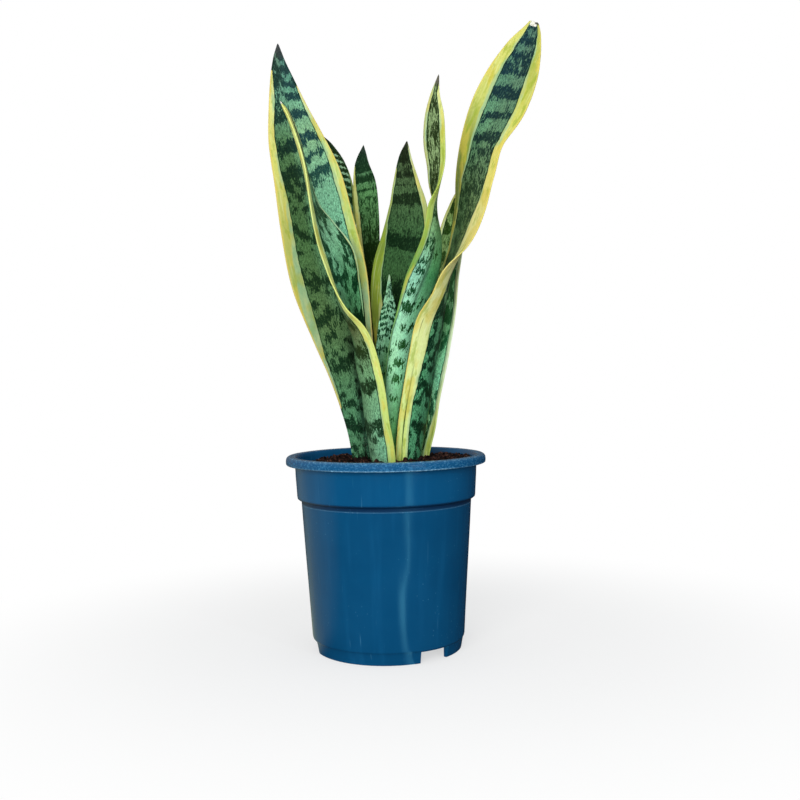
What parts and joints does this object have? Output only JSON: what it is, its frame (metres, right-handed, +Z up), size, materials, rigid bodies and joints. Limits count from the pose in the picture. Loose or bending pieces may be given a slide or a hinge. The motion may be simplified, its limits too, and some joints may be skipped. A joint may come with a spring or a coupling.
{
  "type": "potted snake plant",
  "caption": "Variegated snake plant with upright sword-shaped leaves, growing in a tapered plastic nursery pot with a rolled lip and a notched foot.",
  "frame": {"origin": "middle of the bounding box's footprint, on the surface that the pot stands on", "axes": "+Z up, -Y towards the front (the side seen in the picture), +X to the right as seen from the front"},
  "size_m": [0.2026, 0.15, 0.461],
  "materials": {
    "pot_plastic": "glossy moulded plastic, deep petrol blue, lightly scuffed",
    "potting_mix": "matt, coarse and crumbly, dark reddish brown",
    "leaf": "smooth waxy leaf, dark and light green cross bands, yellow margins",
    "rhizome": "matt, fibrous, pale orange brown"
  },
  "bodies": {
    "root": {"pot": "pot_plastic", "soil": "potting_mix", "rhizome": "rhizome", "leaf_tall_left": "leaf", "leaf_edge_left": "leaf", "leaf_back_left": "leaf", "leaf_back_dark": "leaf", "leaf_back_centre": "leaf", "leaf_twisted": "leaf", "leaf_baby": "leaf", "leaf_big_right": "leaf", "leaf_right": "leaf"}
  },
  "joints": []
}
